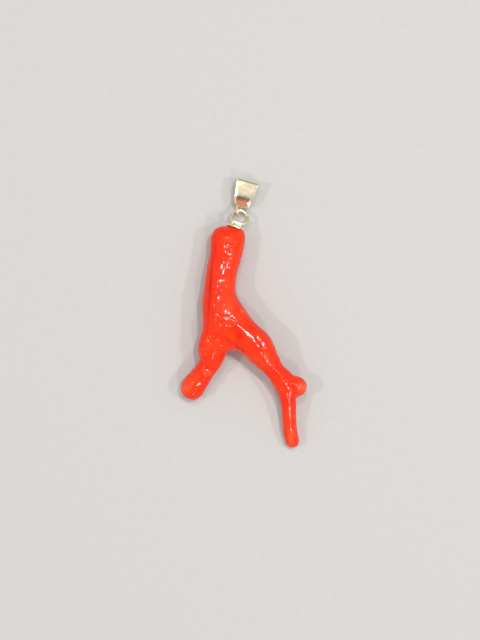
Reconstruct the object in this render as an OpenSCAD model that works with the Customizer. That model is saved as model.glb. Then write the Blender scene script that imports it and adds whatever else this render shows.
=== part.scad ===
// Coral branch pendant, lying on its back. Millimetres, +Z up, floor at Z = 0.
// +Y runs along the pendant towards its bail, +X to its right as seen from above.
// The origin is under the middle of the whole pendant.

/* [Coral branch] */
// Length of the coral from the end of its stem to its fingertip
coral_len = 44.6; // [40:0.1:60]
// Edge of the cells in which the coral's skin is worked out, at a length of 44.6
skin_step = 0.64; // [0.6:0.01:0.9]
// Width over which two limbs melt into each other, at a length of 44.6
melt_w = 2.4; // [1:0.1:3.5]

/* [End cap] */
// Diameter of the gold cap on the end of the stem
cap_d = 3.7; // [3:0.1:4.4]
// Height of its dome, with its straight edge
cap_dome = 0.8; // [0.7:0.02:0.9]
// Height of that straight edge
cap_edge = 0.36; // [0.2:0.02:0.4]
// Turn of the cap and its ring away from +Y, towards +X
cap_turn = 18.6; // [12:0.1:26]
// Diameter of the peg that holds the cap in the drilled coral
peg_d = 1.2; // [1:0.1:1.6]
// Depth of the peg
peg_len = 5; // [3:0.5:7]

/* [Ring on the cap] */
// Outside diameter of the ring
ring_od = 4.06; // [3.8:0.02:4.3]
// Thickness of its wire
ring_wire = 0.68; // [0.6:0.01:0.7]
// Slope of the ring down towards its far side
ring_slope = 35; // [30:1:40]

/* [Connecting loop] */
// Thickness of the loop's wire
loop_wire = 0.44; // [0.36:0.01:0.46]
// Length of the oval loop between the middles of its wire
loop_len = 2.5; // [2.4:0.05:2.6]
// Width of the oval loop between the middles of its wire
loop_w = 1.9; // [1.8:0.05:2]

/* [Bail] */
// Length of the bail
bail_len = 5.6; // [5:0.1:6.5]
// Width across its folded end
bail_top_w = 4.8; // [4.4:0.1:5.4]
// Width across its open end
bail_low_w = 3.0; // [2.8:0.1:3.4]
// Height of the bail above the floor
bail_h = 3.4; // [3.2:0.1:4]
// Thickness of its strip
strip_t = 0.36; // [0.3:0.02:0.4]
// Width of the raised rims along its front
rim_w = 0.36; // [0.25:0.01:0.5]
// Height of those rims
rim_h = 0.12; // [0.08:0.01:0.16]

/* [Hidden] */
$fn = 48;

// Gap left between two pieces that touch on the real pendant
gap = 0.05;

// The tables below are drawn for a coral of this length, and grow with coral_len
drawn_len = 44.6;
grow = coral_len / drawn_len;

// Columns of the limb tables: place in the plan, height of the middle, and radius
X = 0;
Y = 1;
Z = 2;
R = 3;

// The stem from its upper end, through the fork and the right branch to the fingertip
MAIN_LIMB = [
    [-3.36, 13.5, 3.17, 3.13],
    [-3.59, 11.7, 3.21, 3.2],
    [-4.19, 9.0, 3.36, 3.12],
    [-4.6, 6.8, 3.5, 3.1],
    [-4.8, 4.4, 3.7, 3.13],
    [-4.6, 2.2, 3.95, 3.13],
    [-3.6, 0.0, 4.2, 3.4],
    [-1.9, -2.3, 4.5, 3.34],
    [0.35, -4.7, 4.8, 3.15],
    [2.7, -6.9, 4.9, 3.15],
    [4.2, -9.1, 4.8, 2.56],
    [5.6, -10.9, 4.6, 2.05],
    [6.9, -13.0, 4.3, 1.8],
    [8.2, -15.3, 3.9, 1.75],
    [8.78, -17.3, 3.5, 1.63],
    [8.97, -19.0, 3.1, 1.48],
    [9.1, -21.4, 2.5, 1.42],
    [9.3, -23.6, 1.9, 1.42],
    [9.75, -26.05, 1.4, 1.4]
];

// The square shoulder of the stem's end, from left to right
SHOULDER = [
    [-4.3, 14.8, 3.13, 2.0],
    [-1.7, 15.2, 3.13, 1.75]
];

// The left leg, from the fork down to its thick foot
LEFT_LEG = [
    [-4.94, 1.5, 3.95, 3.22],
    [-5.17, -1.5, 4.1, 3.0],
    [-5.64, -4.4, 4.0, 2.8],
    [-6.1, -6.3, 3.8, 2.9],
    [-6.3, -7.6, 3.6, 2.9],
    [-6.5, -9.4, 3.4, 2.4],
    [-7.6, -11.5, 3.0, 2.0],
    [-8.9, -13.3, 2.7, 2.2],
    [-9.8, -14.5, 2.55, 2.37],
    [-10.3, -15.3, 2.42, 2.4]
];

// The web of coral that fills the fork, from the stem down to the crotch
WEB = [
    [-3.4, -1.5, 4.2, 3.2],
    [-2.5, -4.4, 4.3, 3.1]
];

// The knob beside the finger's root, and its neck
KNOB = [
    [7.6, -12.8, 4.2, 1.65],
    [9.1, -14.1, 4.0, 1.7],
    [10.6, -14.9, 3.8, 2.0]
];

// Lumps and dents of the skin: middle, reach, and rise, which is less than zero for a dent
REACH = 3;
RISE = 4;
RELIEF = [
    [-2.8, 13.2, 6.1, 0.9, -0.3],
    [-4.4, 10.2, 6.4, 1.2, -0.2],
    [-6.5, 6.6, 5.5, 0.9, -0.18],
    [-6.6, 3.6, 5.7, 0.9, -0.18],
    [-6.5, 0.6, 6.0, 0.9, -0.18],
    [-3.2, -0.8, 7.5, 1.3, -0.25],
    [0.8, -4.3, 8.1, 1.1, 0.15],
    [3.4, -7.0, 8.1, 1.0, 0.12],
    [-4.2, -5.8, 6.9, 1.3, -0.35],
    [-7.2, -5.6, 6.2, 0.9, -0.25],
    [-6.2, -9.4, 5.9, 0.9, 0.15],
    [-8.3, -11.8, 5.0, 0.8, 0.15],
    [-10.6, -14.3, 4.7, 0.9, -0.22],
    [-9.2, -15.2, 4.6, 0.8, -0.15],
    [2.2, -9.8, 6.6, 1.1, -0.2],
    [8.0, -14.6, 5.8, 0.9, 0.12],
    [11.9, -14.6, 5.0, 1.0, -0.15]
];

// Middle of the cap's seat on the stem's end
SEAT = grow * [-1.8, 16.75, 3.13];

// Middle of the bail's open end, on the floor, and the bail's turn from +Y towards +X
BAIL_AT = [SEAT[X] + 1.18, SEAT[Y] + 4.4, 0];
bail_turn = 15.7;

// Middle of the ring, and the turn of its slope
RING_AT = SEAT + [1.03, 2.35, -0.97];
ring_turn = 24;

// Middle of the connecting loop, its turn, its dip towards the bail and its roll about its length
LOOP_AT = SEAT + [0.84, 4.14, -1.91];
loop_turn = 6.4;
loop_dip = 13;
loop_roll = 65;

function place(row) = [row[X], row[Y], row[Z]];
function sum(list, i = 0) = i == len(list) - 1 ? list[i] : list[i] + sum(list, i + 1);

// Each limb as a chain of tapered pieces: start, run, square of the run, radius and its change
function pieces(limb) = [for (i = [0:len(limb) - 2])
    let (a = place(limb[i]), run = place(limb[i + 1]) - a)
    [a, run, run * run, limb[i][R], limb[i + 1][R] - limb[i][R]]];

// Distance from p to the skin of one tapered piece, less than zero inside it
function piece_gap(p, piece) =
    let (away = p - piece[0], t = max(0, min(1, away * piece[1] / piece[2])))
    norm(away - t * piece[1]) - piece[3] - t * piece[4];

function limb_gap(p, chain) = min([for (piece = chain) piece_gap(p, piece)]);

// The lesser of two distances, rounded off over the width w where they are alike
function melt(a, b, w) = let (h = max(w - abs(a - b), 0)) min(a, b) - h * h / w / 4;

// The limbs, and the share of melt_w over which each melts into those after it
CHAINS = [for (limb = [KNOB, SHOULDER, LEFT_LEG, WEB, MAIN_LIMB]) pieces(limb)];
MELTS = [0.35, 0.8, 0.75, 0.7];

function melted(gaps, i = 0) = i == len(gaps) - 1
    ? gaps[i]
    : melt(gaps[i], melted(gaps, i + 1), MELTS[i] * melt_w);

// How far the lumps and dents raise the skin at p, each fading as a bell curve
function rise(p) = sum([for (row = RELIEF)
    let (off = (p - place(row)) / row[REACH]) row[RISE] * exp(-off * off)]);

// Distance from p to the coral's skin, which has its relief within near_skin
near_skin = 1.5;
function coral_gap(p) =
    let (gap = melted([for (chain = CHAINS) limb_gap(p, chain)]))
    abs(gap) > near_skin ? gap : gap - rise(p);

// The coral's skin: in each cell that it crosses it has one corner, at the mean of the places where
// it cuts the cell's edges, and it has one face round each grid edge that it cuts. The grid starts at
// LOW and covers FIELD
LOW = [-13.4, -28.2, -0.9];
FIELD = [26.2, 46.2, 9.9];
COUNT = [for (side = FIELD) ceil(side / skin_step)];
STEPS = [[1, 0, 0], [0, 1, 0], [0, 0, 1]];
CORNERS = [for (i = [0, 1], j = [0, 1], k = [0, 1]) [i, j, k]];
EDGES = [for (corner = CORNERS, step = STEPS) if (corner * step == 0) [corner, corner + step]];

function grid_point(i, j, k) = LOW + skin_step * [i, j, k];
function at(grid, c) = grid[c[0]][c[1]][c[2]];

// Distances at all grid points. A column whose middle is far from the coral keeps that one value
function distances() = [for (i = [0:COUNT[0]]) [for (j = [0:COUNT[1]])
    let (middle = coral_gap(grid_point(i, j, COUNT[2] / 2)), far = middle > COUNT[2] * skin_step / 2)
    [for (k = [0:COUNT[2]]) far ? middle : coral_gap(grid_point(i, j, k))]]];

// Where the skin cuts each edge of a cell
function cuts(grid, cell) = [for (edge = EDGES)
    let (a = at(grid, cell + edge[0]), b = at(grid, cell + edge[1]))
    if ((a < 0) != (b < 0)) edge[0] + (edge[1] - edge[0]) * a / (a - b)];

// One list row for each cell in order: its cuts' mean place, or an empty list where it has none
function cell_corners(grid) = [for (i = [0:COUNT[0] - 1], j = [0:COUNT[1] - 1], k = [0:COUNT[2] - 1])
    let (found = cuts(grid, [i, j, k]))
    len(found) == 0 ? [] : LOW + skin_step * ([i, j, k] + sum(found) / len(found))];

// How many corners come before each cell
function ranks(corners) = [for (i = 0, n = 0; i < len(corners);
    n = n + (len(corners[i]) > 0 ? 1 : 0), i = i + 1) n];

function cell_number(c) = (c[0] * COUNT[1] + c[1]) * COUNT[2] + c[2];

// The two triangles round a cut grid edge, turned so that they face outwards
function edge_faces(grid, rank, c, axis) =
    let (u = STEPS[(axis + 1) % 3],
         v = STEPS[(axis + 2) % 3],
         ring = [for (cell = [c - u - v, c - v, c, c - u]) rank[cell_number(cell)]],
         out = at(grid, c) < 0 ? [ring[3], ring[2], ring[1], ring[0]] : ring)
    [[out[0], out[1], out[2]], [out[0], out[2], out[3]]];

function skin_faces(grid, rank) = [for (i = [1:COUNT[0] - 1], j = [1:COUNT[1] - 1], k = [1:COUNT[2] - 1],
    axis = [0:2])
    let (c = [i, j, k])
    if ((at(grid, c) < 0) != (at(grid, c + STEPS[axis]) < 0))
        each edge_faces(grid, rank, c, axis)];

module coral_skin() {
    grid = distances();
    corners = cell_corners(grid);
    scale(grow)
        polyhedron([for (corner = corners) if (len(corner) > 0) corner], skin_faces(grid, ranks(corners)));
}

// Stands what follows on the coral's seat, with +Z out of the coral
module on_seat() {
    translate(SEAT)
        rotate([0, 0, -cap_turn])
            rotate([-90, 0, 0])
                children();
}

// Height over the seat that is cut clear of coral
seat_clear = 3;

module coral_branch() {
    color("orangered")
        difference() {
            coral_skin();
            on_seat() {
                cylinder(h = seat_clear, d = cap_d + 4 * gap);
                translate([0, 0, -peg_len - gap])
                    cylinder(h = peg_len + seat_clear, d = peg_d + 2 * gap);
            }
        }
}

// Rise of the cap's dome over its edge, and radius of the ball that it is cut from
dome_rise = cap_dome - cap_edge;
dome_r = (pow(cap_d / 2, 2) + pow(dome_rise, 2)) / (2 * dome_rise);
ring_r = (ring_od - ring_wire) / 2;

module dome() {
    intersection() {
        translate([0, 0, cap_dome - dome_r])
            sphere(dome_r, $fn = 96);
        cylinder(h = 2 * cap_dome, d = cap_d, $fn = 96);
    }
}

module ring() {
    translate(RING_AT)
        rotate([0, 0, -ring_turn])
            rotate([-ring_slope, 0, 0])
                rotate_extrude()
                    translate([ring_r, 0])
                        circle(d = ring_wire, $fn = 24);
}

// The two small feet and the bar between them that join the ring to the dome
foot_out = 0.92;
foot_d = 0.34;
foot_h = 1.2;
bar_w = 0.62;
bar_t = 0.4;
bar_h = 1.05;
module solder_feet() {
    for (side = [-1, 1])
        translate([side * foot_out, 0, 0])
            cylinder(h = foot_h, d = foot_d, $fn = 16);
    translate([-bar_w / 2, -bar_t / 2, 0])
        cube([bar_w, bar_t, bar_h]);
}

module end_cap() {
    color("gold") {
        on_seat() {
            translate([0, 0, gap]) {
                dome();
                solder_feet();
            }
            translate([0, 0, -peg_len])
                cylinder(h = peg_len + cap_dome / 2, d = peg_d);
        }
        ring();
    }
}

module connecting_loop() {
    straight = loop_len - loop_w;
    color("gold")
        translate(LOOP_AT)
            rotate([0, 0, -loop_turn])
                rotate([-loop_dip, 0, 0])
                    rotate([0, loop_roll, 0]) {
                        for (end = [0, 1])
                            rotate([0, 0, 180 * end])
                                translate([0, straight / 2, 0])
                                    rotate_extrude(angle = 180)
                                        translate([loop_w / 2, 0])
                                            circle(d = loop_wire, $fn = 24);
                        for (side = [-1, 1])
                            translate([side * loop_w / 2, straight / 2, 0])
                                rotate([90, 0, 0])
                                    cylinder(h = straight, d = loop_wire, $fn = 24);
                    }
}

// Side view of the bail, along it from its open end and up from the floor. Its front falls in a long
// arc over sweep, runs flat, and folds over fold_r. Its back leans from the heel up to back_z
front_flat = 2.0;
front_fall = 0.62;
fold_r = 0.8;
heel_r = 1.2;
back_z = 0.95;
top_z = bail_h - rim_h;
end_y = bail_len - rim_h;
sweep = end_y - fold_r - front_flat;
front_r = (pow(sweep, 2) + pow(front_fall, 2)) / (2 * front_fall);
front_lean = asin(sweep / front_r);
heel_y = end_y - heel_r;
heel_tilt = atan((heel_r - back_z) / heel_y);
heel_spread = asin(heel_r / norm([heel_y, heel_r - back_z]));
back_lean = heel_spread - heel_tilt;
back_len = heel_r / tan(heel_spread);

// Angle by which neighbouring stretches of the strip run into each other
lap = 1;

// A curved stretch of the strip, of outer radius r, between two angles, standing proud by extra
module bend(r, from, to, extra) {
    far = 3 * r;
    middle = (from + to) / 2;
    intersection() {
        difference() {
            circle(r + extra, $fn = 96);
            circle(r - strip_t, $fn = 96);
        }
        polygon([[0, 0], for (a = [from - lap, middle, to + lap]) far * [cos(a), sin(a)]]);
    }
}

module front_profile(extra) {
    translate([sweep, top_z - front_r])
        bend(front_r, 90, 90 + front_lean, extra);
    translate([sweep, top_z - strip_t])
        square([front_flat, strip_t + extra]);
    translate([sweep + front_flat, top_z - fold_r])
        bend(fold_r, 0, 90, extra);
    translate([end_y - strip_t, heel_r])
        square([strip_t + extra, top_z - fold_r - heel_r]);
}

module back_profile() {
    translate([heel_y, heel_r])
        bend(heel_r, -90 - back_lean, 0, 0);
    translate([0, back_z])
        rotate(-back_lean)
            square([back_len, strip_t]);
}

// The flat outline of the strip as seen from above, with round corners at its open end
corner_r = 0.9;
module outline() {
    low = bail_low_w / 2;
    top = bail_top_w / 2;
    polygon([[-low, corner_r], [-low + corner_r, 0], [low - corner_r, 0], [low, corner_r],
        [top, bail_len], [-top, bail_len]]);
    for (side = [-1, 1])
        translate([side * (low - corner_r), corner_r])
            circle(corner_r, $fn = 32);
}

// Carries a side view across the bail's width
module across() {
    rotate([90, 0, 90])
        translate([0, 0, -bail_top_w / 2])
            linear_extrude(bail_top_w)
                children();
}

// The folded strip, cut to its outline
module folded_strip() {
    intersection() {
        across() {
            front_profile(0);
            back_profile();
        }
        linear_extrude(bail_h)
            outline();
    }
}

// The raised rims along both sides of the front and its fold: the outline less a wedge between them
// that runs on by over past both ends
module rims() {
    over = bail_len / 4;
    flare = (bail_top_w - bail_low_w) / 8;
    low = bail_low_w / 2 - rim_w - flare;
    top = bail_top_w / 2 - rim_w + flare;
    intersection() {
        across()
            front_profile(rim_h);
        linear_extrude(bail_h)
            difference() {
                outline();
                polygon([[-low, -over], [low, -over], [top, bail_len + over], [-top, bail_len + over]]);
            }
    }
}

// The hole in the bail's back, left of its middle, that the connecting loop passes through
hole_d = 1.25;
hole_x = -0.5;
hole_y = 0.95;
hole_top = 1.6;

module bail() {
    color("gold")
        translate(BAIL_AT)
            rotate([0, 0, -bail_turn])
                difference() {
                    union() {
                        folded_strip();
                        rims();
                    }
                    translate([hole_x, hole_y, 0])
                        cylinder(h = hole_top, d = hole_d);
                }
}

coral_branch();
end_cap();
connecting_loop();
bail();
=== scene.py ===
"""Coral branch pendant, lying on its back on a plain pale floor.

The coral's skin, the soldered end cap with its ring, and the bail are level surfaces: a function
gives the distance from any point to the piece's skin, less than zero inside, and the mesh lies
where it is zero. The loop is a round wire carried along an oval. Tables and sizes are in
millimetres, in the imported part's own frame, and each mesh is made in metres.
"""

import itertools
import logging
from dataclasses import dataclass
from enum import Enum
from typing import Any, Callable, Mapping, Sequence

import bpy
import numpy as np
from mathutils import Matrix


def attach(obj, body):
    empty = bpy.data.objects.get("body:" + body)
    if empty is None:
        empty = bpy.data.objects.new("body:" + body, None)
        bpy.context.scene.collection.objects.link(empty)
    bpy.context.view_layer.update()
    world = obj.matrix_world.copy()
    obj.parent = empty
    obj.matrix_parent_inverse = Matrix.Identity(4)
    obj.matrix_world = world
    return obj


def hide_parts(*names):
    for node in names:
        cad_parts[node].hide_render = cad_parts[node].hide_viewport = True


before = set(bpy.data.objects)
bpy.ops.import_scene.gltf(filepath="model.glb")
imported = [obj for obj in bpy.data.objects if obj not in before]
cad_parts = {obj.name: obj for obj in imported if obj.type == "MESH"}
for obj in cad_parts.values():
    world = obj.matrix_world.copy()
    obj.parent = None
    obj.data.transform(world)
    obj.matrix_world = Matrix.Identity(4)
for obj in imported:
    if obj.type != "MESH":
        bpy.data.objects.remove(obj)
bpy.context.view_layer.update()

MM = 0.001
BODY = "root"
LOG = logging.getLogger("pendant")

# How many points are measured against a chain at once
POINTS_AT_ONCE = 4096
# How far above and below its middle a small form fades
FORM_DEPTH = 1.6
# Where the coral's flat end lies, the middle of the seat for the cap
SEAT_AT = (-1.8, 16.75, 3.13)

Array = np.ndarray
Gap = Callable[[Array, Array, Array], Array]
Place = tuple[float, float, float]
Room = tuple[Place, Place]
Span = tuple[float, float]
Colour = tuple[float, float, float, float]
Stops = tuple[tuple[float, tuple[float, float, float]], ...]


class Slot(Enum):
    """The record's material slots."""

    CORAL = "coral"
    GOLD = "gold"


class Polish(Enum):
    """How bright a gold surface is: its mean roughness."""

    MIRROR = 0.07
    WORN = 0.13


# Shaping distances


def melt(a: Array, b: Array, width: float) -> Array:
    """Joins two solids and rounds off the hollow between them.

    The lesser of the two distances, less a quarter of the squared overlap of their bands, over
    the width in which they are alike.

    Args:
        a: Distances to the first skin.
        b: Distances to the second skin.
        width: Width of the rounded hollow.

    Returns:
        Distances to the joined skin.
    """
    share = np.maximum(width - np.abs(a - b), 0)
    return np.minimum(a, b) - share * share / (4 * width)


def carve(a: Array, tool: Array, width: float) -> Array:
    """Cuts one solid by another and rounds off the new edge.

    Args:
        a: Distances to the solid's skin.
        tool: Distances to the cutting tool's skin.
        width: Width of the rounded edge.

    Returns:
        Distances to the skin of what is left.
    """
    return -melt(-a, tool, width)


def corner(a: Array, b: Array, radius: float) -> Array:
    """The part that two solids share, with a round edge where their skins meet.

    Args:
        a: Distances to the first skin.
        b: Distances to the second skin.
        radius: Radius of the edge.

    Returns:
        Distances to the shared part's skin.
    """
    flat = np.minimum(np.maximum(a, b), -radius)
    return flat + np.hypot(np.maximum(a + radius, 0), np.maximum(b + radius, 0))


def smooth_rows(rows: Sequence[Sequence[float]], steps: int) -> Array:
    """Puts more rows between the rows of a table, on one smooth curve.

    Each stretch is the cubic through its two rows whose slope at each row is half the way from
    the row before to the row after.

    Args:
        rows: The table.
        steps: Stretches that each of its own becomes.

    Returns:
        The longer table.
    """
    table = np.array(rows, float)
    if len(table) < 3:
        return table
    ends = np.vstack([2 * table[0] - table[1], table, 2 * table[-1] - table[-2]])
    t = (np.arange(steps) / steps)[None, :, None]
    a, b, c, d = (ends[i : len(ends) - 3 + i, None, :] for i in range(4))
    curve = 0.5 * (2 * b + (c - a) * t + (2 * a - 5 * b + 4 * c - d) * t**2 + (3 * b - 3 * c + d - a) * t**3)
    return np.vstack([curve.reshape(-1, table.shape[1]), table[-1:]])


@dataclass(frozen=True)
class Chain:
    """A chain of tapered rods along a table of points and radii."""

    table: Array

    @classmethod
    def along(cls, rows: Sequence[Sequence[float]], steps: int = 4) -> "Chain":
        """The chain on a smooth curve through the rows of a limb's table."""
        return cls(smooth_rows(rows, steps))

    def gap(self, x: Array, y: Array, z: Array) -> Array:
        """Distance from each point to the chain's skin: the least over its rods of the way to
        the rod's nearest middle point, less the radius there. Points are taken a few thousand
        at a time, with all rods at once.

        Args:
            x: Places along X.
            y: Places along Y.
            z: Places along Z.

        Returns:
            The distances.
        """
        places = np.broadcast_arrays(x, y, z)
        points = np.stack([place.ravel() for place in places], axis=1)
        start, radius = self.table[:-1, :3], self.table[:-1, 3]
        run, growth = np.diff(self.table[:, :3], axis=0), np.diff(self.table[:, 3])
        run_square, start_square = (run**2).sum(1), (start**2).sum(1)
        least = []
        for part in np.array_split(points, len(points) // POINTS_AT_ONCE + 1):
            ahead = part @ run.T - (start * run).sum(1)
            t = np.clip(ahead / run_square, 0, 1)
            square = (part**2).sum(1)[:, None] - 2 * part @ start.T + start_square
            square -= t * (2 * ahead - t * run_square)
            least.append((np.sqrt(np.maximum(square, 0)) - t * growth - radius).min(1))
        return np.concatenate(least).reshape(places[0].shape)


@dataclass(frozen=True)
class Pose:
    """A place and the turns, in degrees about X, Y or Z, that carry a piece's own frame there."""

    at: Place
    turns: tuple[tuple[str, float], ...] = ()

    def matrix(self) -> Array:
        """The turns as one matrix, the first of them outermost.

        Returns:
            The matrix, which carries the piece's own directions to the whole pendant's.
        """
        whole = np.eye(3)
        for axis, degrees in self.turns:
            i = "XYZ".index(axis)
            j, k = (i + 1) % 3, (i + 2) % 3
            angle = np.radians(degrees)
            turn = np.eye(3)
            turn[j, j] = turn[k, k] = np.cos(angle)
            turn[k, j], turn[j, k] = np.sin(angle), -np.sin(angle)
            whole = whole @ turn
        return whole

    def inward(self, x: Array, y: Array, z: Array) -> tuple[Array, Array, Array]:
        """Points of the whole pendant in the piece's own frame.

        Args:
            x: Places along X.
            y: Places along Y.
            z: Places along Z.

        Returns:
            The three lists of places in the piece's frame.
        """
        m = self.matrix()
        u, v, w = x - self.at[0], y - self.at[1], z - self.at[2]
        return tuple(u * m[0, i] + v * m[1, i] + w * m[2, i] for i in range(3))

    def outward(self, points: Array) -> Array:
        """Points of the piece's own frame in the whole pendant's."""
        return points @ self.matrix().T + np.array(self.at)


# Meshes


def unit(rows: Array) -> Array:
    """Each row as a direction of length one."""
    return rows / np.linalg.norm(rows, axis=-1, keepdims=True)


def slope(gap: Gap, points: Array, reach: float) -> Array:
    """How the distance grows at each point, from its values a short reach to both sides.

    Args:
        gap: The distance.
        points: One row for each point.
        reach: The short reach.

    Returns:
        One direction for each point, of length one where the distance is a true one.
    """
    grown = []
    for axis in np.eye(3) * reach:
        ahead, behind = points + axis, points - axis
        grown.append((gap(*ahead.T) - gap(*behind.T)) / (2 * reach))
    return np.stack(grown, axis=1)


@dataclass(frozen=True)
class LevelSkin:
    """The mesh of a level surface: one corner in each grid cell that the skin crosses, and one
    four-sided face round each grid edge that it cuts. Corners are then slid on to the skin.

    The grid starts at the room's first corner and reaches its second. Blocks within margin times
    their diagonal of the skin are worked out in full.
    """

    gap: Gap
    room: Room
    step: float
    block: int = 4
    margin: float = 1.1
    least_slope: float = 0.1

    def counts(self) -> Array:
        """Cells along each axis, a whole number of blocks."""
        side = np.subtract(self.room[1], self.room[0]) / (self.step * self.block)
        return np.ceil(side).astype(int) * self.block

    def distances(self) -> Array:
        """Distances at all grid points.

        They are worked out first at the corners of large blocks. Only a block with a corner
        about as near the skin as its own diagonal has all its points worked out, and the others
        keep the value of a corner, which has the right sign.

        Returns:
            One value for each grid point.
        """
        low, size, wide = self.room[0], self.counts(), self.block * self.step
        axes = [low[i] + wide * np.arange(size[i] // self.block + 1) for i in range(3)]
        coarse = self.gap(*np.meshgrid(*axes, indexing="ij"))
        blocks = np.array(coarse.shape) - 1
        seen = [
            np.abs(coarse[i : blocks[0] + i, j : blocks[1] + j, k : blocks[2] + k])
            for i, j, k in itertools.product((0, 1), repeat=3)
        ]
        near = np.min(seen, axis=0) < self.margin * np.sqrt(3) * wide
        fine = coarse[:-1, :-1, :-1]
        for axis in range(3):
            near = np.repeat(near, self.block, axis)
            fine = np.repeat(fine, self.block, axis)
        values = np.pad(fine, ((0, 1),) * 3, mode="edge")
        wanted = np.zeros(values.shape, bool)
        for i, j, k in itertools.product((0, 1), repeat=3):
            wanted[i : size[0] + i, j : size[1] + j, k : size[2] + k] |= near
        place = np.nonzero(wanted)
        values[place] = self.gap(*(low[i] + self.step * place[i] for i in range(3)))
        return values

    def net(self) -> tuple[Array, Array]:
        """The corners, each at the mean of the places where the skin cuts its cell's edges, and
        the faces, each turned so that it faces outwards.

        Returns:
            The corners, and the four corner numbers of each face.
        """
        grid = self.distances()
        inside = grid < 0
        size = np.array(grid.shape) - 1
        shifts = list(itertools.product((0, 1), repeat=3))
        full = sum(
            inside[i : size[0] + i, j : size[1] + j, k : size[2] + k].astype(np.int8) for i, j, k in shifts
        )
        cells = np.argwhere((full > 0) & (full < 8))
        rank = np.full(tuple(size), -1)
        rank[tuple(cells.T)] = np.arange(len(cells))
        total, found = np.zeros((len(cells), 3)), np.zeros((len(cells), 1))
        for shift, axis in itertools.product(np.array(shifts), np.eye(3, dtype=int)):
            if shift @ axis:
                continue
            a, b = grid[tuple((cells + shift).T)], grid[tuple((cells + shift + axis).T)]
            cut = (a < 0) != (b < 0)
            share = np.where(cut, a / np.where(cut, a - b, 1), 0)
            total += np.where(cut[:, None], shift + share[:, None] * axis, 0)
            found += cut[:, None]
        corners = np.array(self.room[0]) + self.step * (cells + total / found)
        return corners, self.faces(inside, rank)

    def faces(self, inside: Array, rank: Array) -> Array:
        """The faces round the grid edges that the skin cuts.

        Args:
            inside: Which grid points are inside.
            rank: The number of each cell's corner.

        Returns:
            Four corner numbers for each face.
        """
        steps = np.eye(3, dtype=int)
        out = []
        for axis in range(3):
            ahead = np.roll(inside, -1, axis)
            cut = np.argwhere((inside != ahead)[1:-1, 1:-1, 1:-1]) + 1
            u, v = steps[(axis + 1) % 3], steps[(axis + 2) % 3]
            ring = np.stack([rank[tuple((cut + s).T)] for s in (-u - v, -v, 0 * u, -u)], axis=1)
            leaving = inside[tuple(cut.T)]
            out.append(np.where(leaving[:, None], ring, ring[:, ::-1]))
        return np.vstack(out)

    def settle(self, corners: Array, gap: Gap, rounds: int) -> Array:
        """Slides corners on to a skin: each moves against the slope by the distance over the
        slope's square, and never by more than one cell.

        Args:
            corners: Where they are.
            gap: Distance to the skin.
            rounds: How many times they move.

        Returns:
            Where they end.
        """
        for _ in range(rounds):
            way = slope(gap, corners, self.step / 4)
            square = np.maximum((way**2).sum(1), self.least_slope)
            corners = corners - (gap(*corners.T) / square).clip(-self.step, self.step)[:, None] * way
        return corners

    def even(self, corners: Array, quads: Array, rounds: int) -> Array:
        """Spaces corners evenly: each goes half the way to the mean of its neighbours, less
        what of that way leads off the skin.

        Args:
            corners: Where they are.
            quads: The faces.
            rounds: How many times they move.

        Returns:
            Where they end.
        """
        ends = np.concatenate([quads, np.roll(quads, -1, axis=1)]).ravel()
        starts = np.concatenate([np.roll(quads, -1, axis=1), quads]).ravel()
        count = np.bincount(starts, minlength=len(corners))[:, None]
        for _ in range(rounds):
            mean = np.stack(
                [np.bincount(starts, corners[ends, i], len(corners)) for i in range(3)], axis=1
            ) / count
            way = slope(self.gap, corners, self.step / 4)
            way /= np.maximum(np.linalg.norm(way, axis=1, keepdims=True), self.least_slope)
            move = (mean - corners) / 2
            corners = corners + move - (move * way).sum(1, keepdims=True) * way
        return corners

    def mesh(self, fine: Gap, first: int = 2, last: int = 2) -> tuple[Array, Array, Array]:
        """The finished mesh: the net is settled on the skin, spaced evenly and settled again.

        Args:
            fine: Distance to the skin with all its small forms, on which the corners end.
            first: Rounds of the first settling.
            last: Rounds of the last settling.

        Returns:
            The corners, the faces, and the direction in which each corner faces.
        """
        corners, quads = self.net()
        corners = self.even(self.settle(corners, self.gap, first), quads, 2)
        corners = self.settle(corners, fine, last)
        return corners, quads, slope(fine, corners, self.step / 3)


def link_piece(name: str, points: Array, quads: Array, normals: Array | None = None) -> bpy.types.Object:
    """Makes a smooth mesh object and puts it in the scene.

    Args:
        name: The piece's name.
        points: Its corners in millimetres.
        quads: The corner numbers of its four-sided faces.
        normals: The direction in which each corner faces, where it is known exactly.

    Returns:
        The object, at the origin.
    """
    mesh = bpy.data.meshes.new(name)
    mesh.vertices.add(len(points))
    mesh.vertices.foreach_set("co", (points * MM).astype(np.float32).ravel())
    mesh.loops.add(quads.size)
    mesh.loops.foreach_set("vertex_index", quads.astype(np.int32).ravel())
    mesh.polygons.add(len(quads))
    mesh.polygons.foreach_set("loop_start", np.arange(0, quads.size, 4, dtype=np.int32))
    mesh.polygons.foreach_set("use_smooth", np.ones(len(quads), bool))
    mesh.update(calc_edges=True)
    if normals is not None:
        mesh.normals_split_custom_set_from_vertices(normals)
    piece = bpy.data.objects.new(name, mesh)
    bpy.context.scene.collection.objects.link(piece)
    return piece


def put_attribute(piece: bpy.types.Object, name: str, values: Array) -> None:
    """Stores one number or one vector for each corner of a piece, for its finish to read.

    Args:
        piece: The piece.
        name: The attribute's name.
        values: One row or one number for each corner.
    """
    kind, key = ("FLOAT", "value") if values.ndim == 1 else ("FLOAT_VECTOR", "vector")
    attribute = piece.data.attributes.new(name, kind, "POINT")
    attribute.data.foreach_set(key, values.astype(np.float32).ravel())


def hand_in(piece: bpy.types.Object, finish: bpy.types.Material, slot: Slot, *nodes: str) -> None:
    """Dresses a piece, lets it ride and says which solids it stands for.

    Args:
        piece: The piece.
        finish: Its material.
        slot: The record's slot for its finish, which is not used.
        *nodes: The solids that it stands for.
    """
    piece.data.materials.append(finish)
    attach(piece, BODY)
    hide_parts(*nodes)
    LOG.info("%s: %d faces, for %s", piece.name, len(piece.data.polygons), ", ".join(nodes))


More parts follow.
